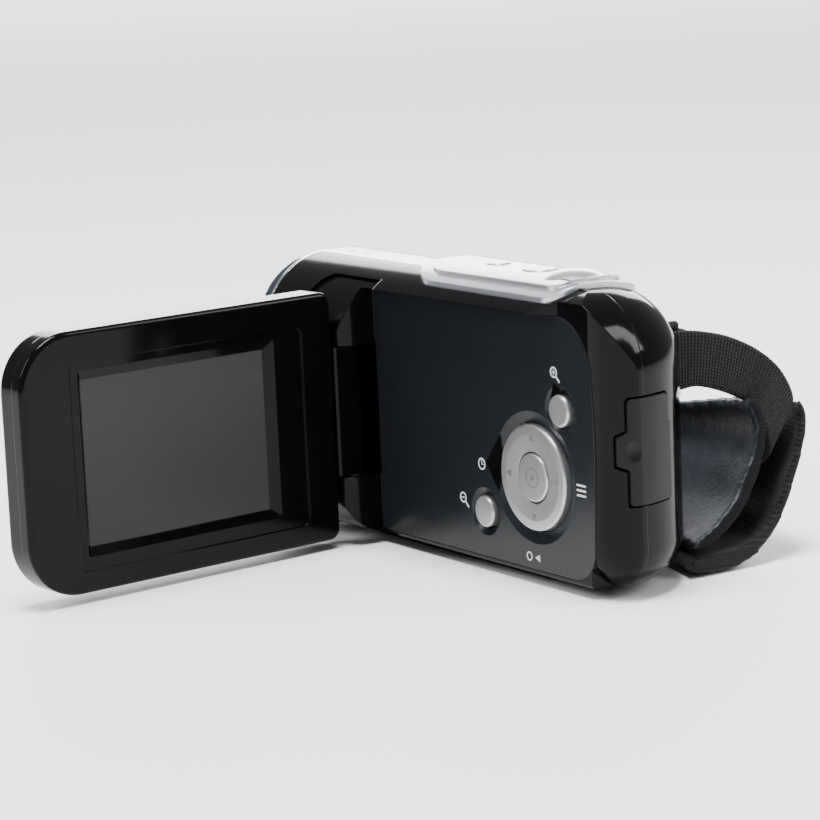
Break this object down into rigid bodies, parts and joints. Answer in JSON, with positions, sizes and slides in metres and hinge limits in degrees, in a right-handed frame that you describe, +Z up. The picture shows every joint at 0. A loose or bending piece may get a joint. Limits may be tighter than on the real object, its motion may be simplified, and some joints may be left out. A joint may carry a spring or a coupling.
{
  "type": "pocket camcorder",
  "caption": "Pocket camcorder with a fold-out swivelling screen on its left flank, a side key pad, top keys, a rear port flap and a padded hand strap.",
  "frame": {"origin": "mouth of the tripod socket, in the flat base", "axes": "+Z up, lens looks along -Y, screen folds out on the +X side"},
  "size_m": [0.1335, 0.1077, 0.0562],
  "materials": {
    "black_gloss": "piano-black injection moulding, high gloss",
    "silver_paint": "fine metallic silver paint on ABS, satin",
    "plate_grey": "dark blue-grey semi-gloss panel",
    "ring_gloss": "dark blue-black gloss",
    "chrome": "bright chrome plate",
    "button_silver": "satin metallic silver",
    "rubber": "matte charcoal rubber",
    "lens_glass": "coated optical glass",
    "window_glass": "dark display window, unlit",
    "lamp_clear": "frosted clear plastic",
    "black_matte": "matte black moulding",
    "board_green": "solder-masked circuit board",
    "chip_black": "moulded package",
    "steel": "bright steel",
    "brass": "turned brass",
    "battery_wrap": "printed battery wrap",
    "web_black": "ribbed nylon webbing",
    "pad_leather": "pebbled synthetic leather lining over knitted cloth"
  },
  "bodies": {
    "camera": {"battery": "battery_wrap", "battery_contacts": "brass", "battery_door_pin": "steel", "board_chips": "chip_black", "button_deck": "silver_paint", "card_slot": "steel", "case_screws": "steel", "chrome_trim": "chrome", "control_plate": "plate_grey", "front_element": "lens_glass", "front_glass": "lens_glass", "front_panel": "black_gloss", "front_ring": "ring_gloss", "image_sensor": "chip_black", "key_domes": "steel", "keypad_board": "board_green", "lamp_led": "lamp_clear", "lamp_window": "lamp_clear", "left_shell": "black_gloss", "lens_barrel": "black_matte", "lens_cell": "black_matte", "lens_mask": "black_matte", "main_board": "board_green", "memory_card": "black_matte", "microphones": "steel", "push_switches": "chip_black", "rear_element": "lens_glass", "right_shell": "black_gloss", "sensor_board": "board_green", "speaker": "steel", "strap_cover": "web_black", "strap_lug_front": "black_matte", "strap_lug_rear": "black_matte", "strap_pad": "pad_leather", "strap_web_front": "web_black", "strap_web_rear": "web_black", "switch_board": "board_green", "top_cover": "silver_paint", "tripod_insert": "brass", "usb_port": "steel"},
    "hinge_arm_body": {"hinge_arm": "black_gloss", "hinge_pins": "steel"},
    "screen": {"screen_bezel": "black_gloss", "screen_cover": "black_gloss", "screen_window": "window_glass", "display_panel": "chip_black", "screen_board": "board_green", "swivel_shaft": "steel", "screen_screws": "steel"},
    "ok_key": {"ok_button": "button_silver"},
    "direction_key": {"direction_pad": "button_silver"},
    "zoom_in_key": {"zoom_in_button": "button_silver"},
    "zoom_out_key": {"zoom_out_button": "button_silver"},
    "shutter_key": {"shutter_button": "silver_paint"},
    "power_key": {"power_button": "silver_paint"},
    "port_flap": {"port_cover": "rubber"},
    "battery_flap": {"battery_door": "black_gloss"}
  },
  "joints": [
    {"name": "screen_hinge", "type": "hinge", "parent": "camera", "child": "hinge_arm_body", "pos_m": [0.0121, -0.0249, 0.026], "axis": [0, 0, 1], "range_deg": [-5.4, 84]},
    {"name": "screen_swivel", "type": "hinge", "parent": "hinge_arm_body", "child": "screen", "pos_m": [0.01219, -0.0259, 0.0255], "axis": [0.9956, 0.0941, 0], "range_deg": [-90, 180]},
    {"name": "ok_press", "type": "slide", "parent": "camera", "child": "ok_key", "axis": [-1, 0, 0], "range_m": [0, 0.00035], "stiffness_N_per_m": 900},
    {"name": "direction_press", "type": "slide", "parent": "camera", "child": "direction_key", "axis": [-1, 0, 0], "range_m": [0, 0.00035], "stiffness_N_per_m": 900},
    {"name": "zoom_in_press", "type": "slide", "parent": "camera", "child": "zoom_in_key", "axis": [-1, 0, 0], "range_m": [0, 0.00035], "stiffness_N_per_m": 900},
    {"name": "zoom_out_press", "type": "slide", "parent": "camera", "child": "zoom_out_key", "axis": [-1, 0, 0], "range_m": [0, 0.00035], "stiffness_N_per_m": 900},
    {"name": "shutter_press", "type": "slide", "parent": "camera", "child": "shutter_key", "axis": [0, 0, -1], "range_m": [0, 0.00035], "stiffness_N_per_m": 900},
    {"name": "power_press", "type": "slide", "parent": "camera", "child": "power_key", "axis": [0, 0, -1], "range_m": [0, 0.00035], "stiffness_N_per_m": 900},
    {"name": "port_cover_hinge", "type": "hinge", "parent": "camera", "child": "port_flap", "pos_m": [-0.005, 0.0506, 0.0264], "axis": [0, 0, 1], "range_deg": [0, 100]},
    {"name": "battery_door_hinge", "type": "hinge", "parent": "camera", "child": "battery_flap", "pos_m": [-0.0088, -0.026, 0.0018], "axis": [-1, 0, 0], "range_deg": [0, 90]}
  ]
}
